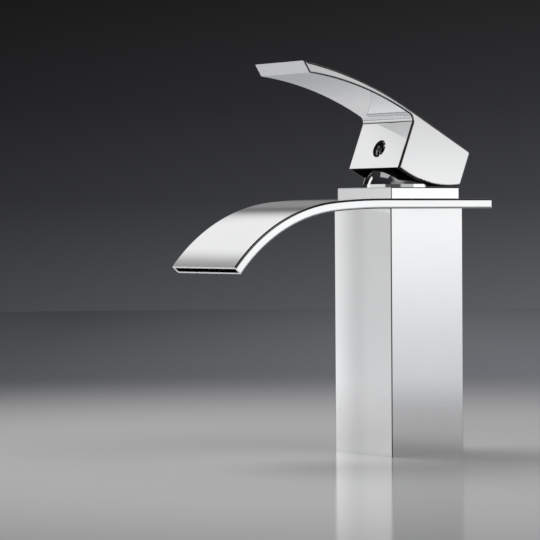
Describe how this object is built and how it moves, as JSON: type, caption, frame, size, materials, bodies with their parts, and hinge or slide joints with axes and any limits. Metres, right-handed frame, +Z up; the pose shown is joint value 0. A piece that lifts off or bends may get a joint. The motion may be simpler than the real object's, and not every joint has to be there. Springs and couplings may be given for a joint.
{
  "type": "basin faucet",
  "caption": "Single-lever waterfall basin faucet: square chrome column, wide curved flat spout with a slot lip, raised flat lever, deck clamp below.",
  "frame": {"origin": "centre of the column's foot, on the deck surface", "axes": "+Z up; the spout and the lever point to -Y; +X is to the right of a person standing at the basin"},
  "size_m": [0.0534, 0.1607, 0.2562],
  "materials": {
    "chrome_plate": "polished",
    "bare_brass": "satin",
    "copper_tube": "satin",
    "steel": "satin",
    "stem_metal": "satin",
    "black_rubber": "matte",
    "black_plastic": "satin",
    "white_plastic": "satin",
    "alumina": "satin"
  },
  "bodies": {
    "root": {"column_tube": "chrome_plate", "valve_block": "bare_brass", "base_plate": "bare_brass", "base_gasket": "black_rubber", "hot_riser": "copper_tube", "cold_riser": "copper_tube", "spout_cover": "chrome_plate", "spout_trough": "chrome_plate", "spout_screws": "steel", "passage_seals": "black_rubber", "bezel_plate": "chrome_plate", "nut_washer": "black_rubber", "cartridge_nut": "bare_brass", "dome_cap": "chrome_plate", "cartridge_base": "white_plastic", "port_seals": "black_rubber", "fixed_disc": "alumina", "cartridge_housing": "white_plastic", "mounting_stud": "bare_brass"},
    "rotor": {"stem_rotor": "black_plastic", "pivot_pin": "steel"},
    "lever": {"handle": "chrome_plate", "cartridge_stem": "stem_metal", "set_screw": "steel"},
    "disc": {"moving_disc": "alumina", "disc_carrier": "black_plastic"},
    "clamp": {"horseshoe_gasket": "black_rubber", "horseshoe_washer": "steel", "clamp_nut": "bare_brass"}
  },
  "joints": [
    {"name": "temperature", "type": "hinge", "parent": "root", "child": "rotor", "pos_m": [0, 0, 0.1292], "axis": [0, 0, 1], "range_deg": [-50, 50]},
    {"name": "flow", "type": "hinge", "parent": "rotor", "child": "lever", "pos_m": [0, 0, 0.1292], "axis": [1, 0, 0], "range_deg": [0, 21.7]},
    {"name": "disc_slide", "type": "slide", "parent": "rotor", "child": "disc", "axis": [0, 1, 0], "range_m": [0, 0.00592]},
    {"name": "clamp_height", "type": "slide", "parent": "root", "child": "clamp", "axis": [0, 0, 1], "range_m": [-0.015, 0.015]}
  ],
  "couplings": [
    {"joint": "disc_slide", "follows": "flow", "m_per_rad": 0.01562}
  ]
}
